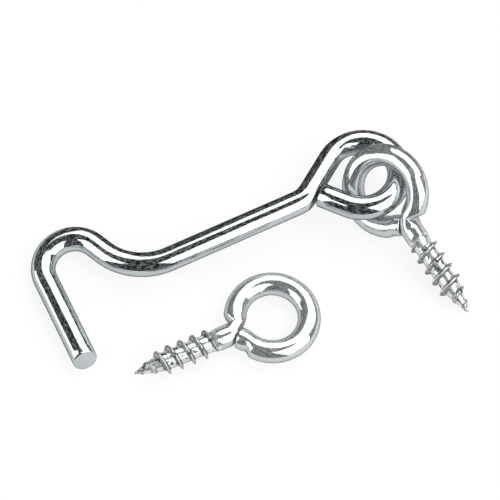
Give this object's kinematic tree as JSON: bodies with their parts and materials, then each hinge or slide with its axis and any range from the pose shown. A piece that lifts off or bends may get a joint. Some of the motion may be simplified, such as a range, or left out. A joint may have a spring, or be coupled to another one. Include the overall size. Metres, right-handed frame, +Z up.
{
  "type": "hook and eye latch",
  "caption": "Bent wire hook linked by its loop to a threaded screw eye, with a loose screw eye as its catch; holds a gate, door or lid shut.",
  "frame": {"origin": "middle of the set's outline on the table it lies on", "axes": "+X along the set's length towards the linked screw eye, +Y away from the viewer, +Z up from the table"},
  "size_m": [0.085, 0.0502, 0.0153],
  "materials": {
    "hook_wire": "bright zinc plating on drawn steel wire, with fine drawing marks",
    "eye_wire": "bright zinc plating on drawn steel wire, duller in the thread"
  },
  "bodies": {
    "hinge_eye": {"hinge_eye": "eye_wire"},
    "hook": {"hook": "hook_wire"},
    "catch_eye": {"catch_eye": "eye_wire"}
  },
  "joints": [
    {"name": "hook_swing", "type": "hinge", "parent": "hinge_eye", "child": "hook", "pos_m": [0.02209, 0.01517, 0.00728], "axis": [-0.074, -0.0157, 0.9971], "range_deg": [-170, 5]},
    {"name": "catch_slide", "type": "slide", "parent": "hinge_eye", "child": "catch_eye", "axis": [0.9107, 0.4131, 0], "range_m": [0, 0.012]}
  ]
}
